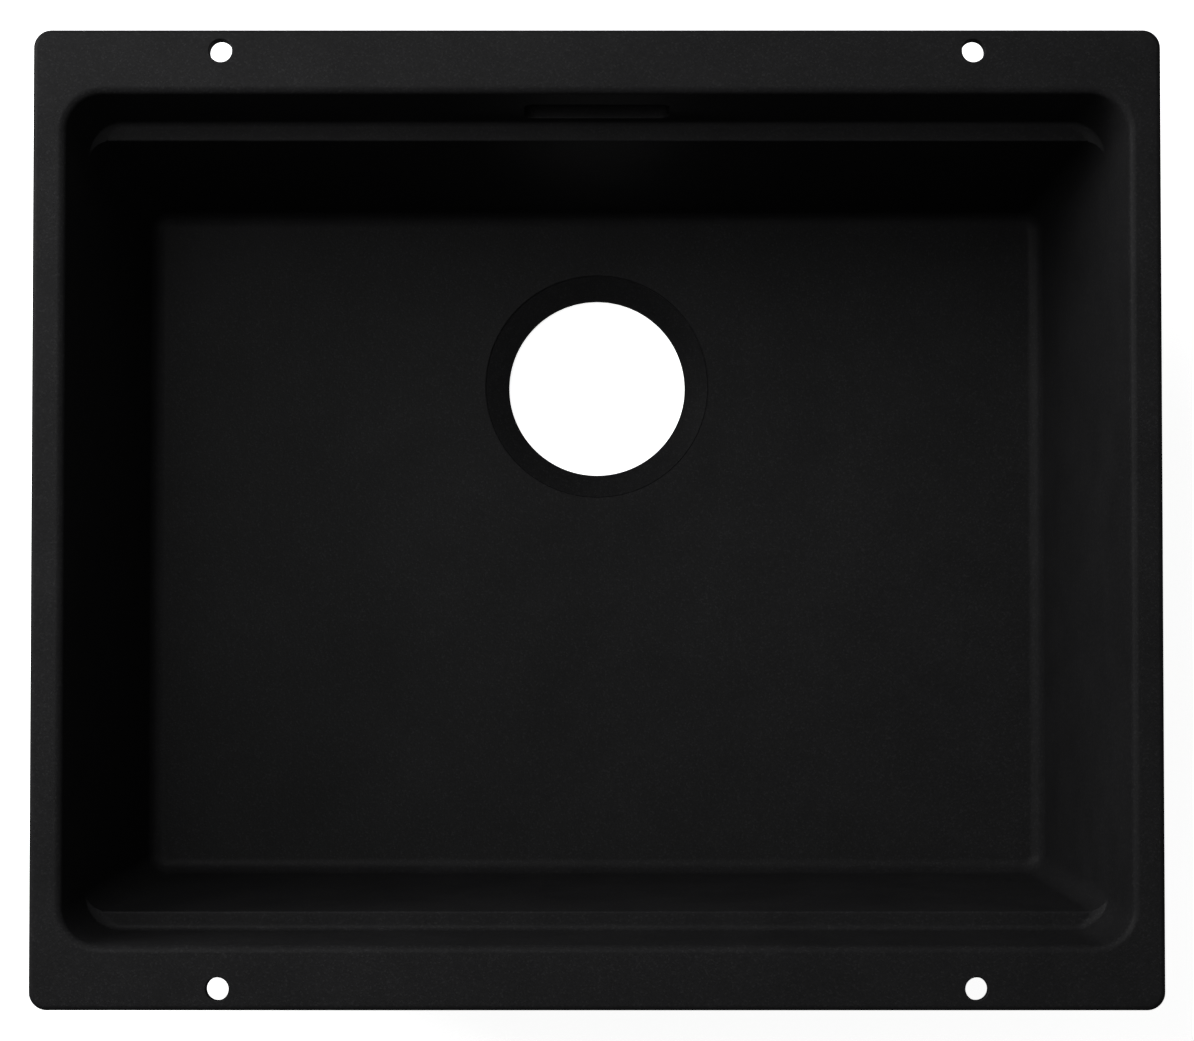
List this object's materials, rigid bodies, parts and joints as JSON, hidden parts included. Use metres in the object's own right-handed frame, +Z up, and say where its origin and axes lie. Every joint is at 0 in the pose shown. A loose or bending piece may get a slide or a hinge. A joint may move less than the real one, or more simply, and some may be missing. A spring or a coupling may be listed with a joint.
{
  "type": "undermount kitchen sink",
  "caption": "Deep rectangular undermount sink with a narrow ledge front and rear, overflow slot, dished round waste hole, flat drilled flange, and a swivelling overflow outlet behind.",
  "frame": {"origin": "on the ground, midway between the flange's ends and sides, level with the foot of the waste boss and of the four standing pads", "axes": "+Z up, out of the bowl's mouth; +Y to the rear, the side with the overflow slot; +X to the right as seen by someone who stands in front of the sink"},
  "size_m": [0.53, 0.46, 0.205],
  "materials": {
    "stone_composite": "fine-grained matt, cast mineral-filled resin, near black",
    "black_rubber": "matt moulded rubber",
    "grey_plastic": "moulded, fine satin texture",
    "white_plastic": "smooth low-friction plastic",
    "black_plastic": "moulded, satin",
    "stainless_steel": "bright turned steel",
    "brass": "turned, slightly dull"
  },
  "bodies": {
    "sink": {"sink_bowl": "stone_composite", "overflow_gasket": "black_rubber", "overflow_housing": "grey_plastic", "threaded_insert_1": "brass", "threaded_insert_2": "brass", "threaded_insert_3": "brass", "threaded_insert_4": "brass", "housing_washer_1": "stainless_steel", "housing_washer_2": "stainless_steel", "housing_washer_3": "stainless_steel", "housing_washer_4": "stainless_steel", "housing_screw_1": "stainless_steel", "housing_screw_2": "stainless_steel", "housing_screw_3": "stainless_steel", "housing_screw_4": "stainless_steel", "outlet_seal": "black_rubber"},
    "elbow": {"outlet_elbow": "grey_plastic", "hose_seal": "black_rubber"},
    "union_ring": {"union_slip_ring": "white_plastic"},
    "union_nut": {"union_nut": "black_plastic"},
    "hose_ring": {"hose_slip_ring": "white_plastic"},
    "hose_nut": {"hose_nut": "black_plastic"}
  },
  "joints": [
    {"name": "outlet_swivel", "type": "hinge", "parent": "sink", "child": "elbow", "pos_m": [0, 0.211, 0.1], "axis": [0, 0, 1], "range_deg": [0, 180]},
    {"name": "union_nut_travel", "type": "slide", "parent": "sink", "child": "union_ring", "axis": [0, 0, -1], "range_m": [0, 0.0076]},
    {"name": "union_nut_turn", "type": "hinge", "parent": "union_ring", "child": "union_nut", "pos_m": [0, 0.211, 0.11], "axis": [0, 0, -1], "range_deg": [0, 900]},
    {"name": "hose_nut_travel", "type": "slide", "parent": "elbow", "child": "hose_ring", "axis": [1, 0, 0], "range_m": [0, 0.0061]},
    {"name": "hose_nut_turn", "type": "hinge", "parent": "hose_ring", "child": "hose_nut", "pos_m": [0.034, 0.211, 0.076], "axis": [1, 0, 0], "range_deg": [0, 720]}
  ],
  "couplings": [
    {"joint": "union_nut_travel", "follows": "union_nut_turn", "m_per_rad": 0.00047746},
    {"joint": "hose_nut_travel", "follows": "hose_nut_turn", "m_per_rad": 0.00047746}
  ]
}
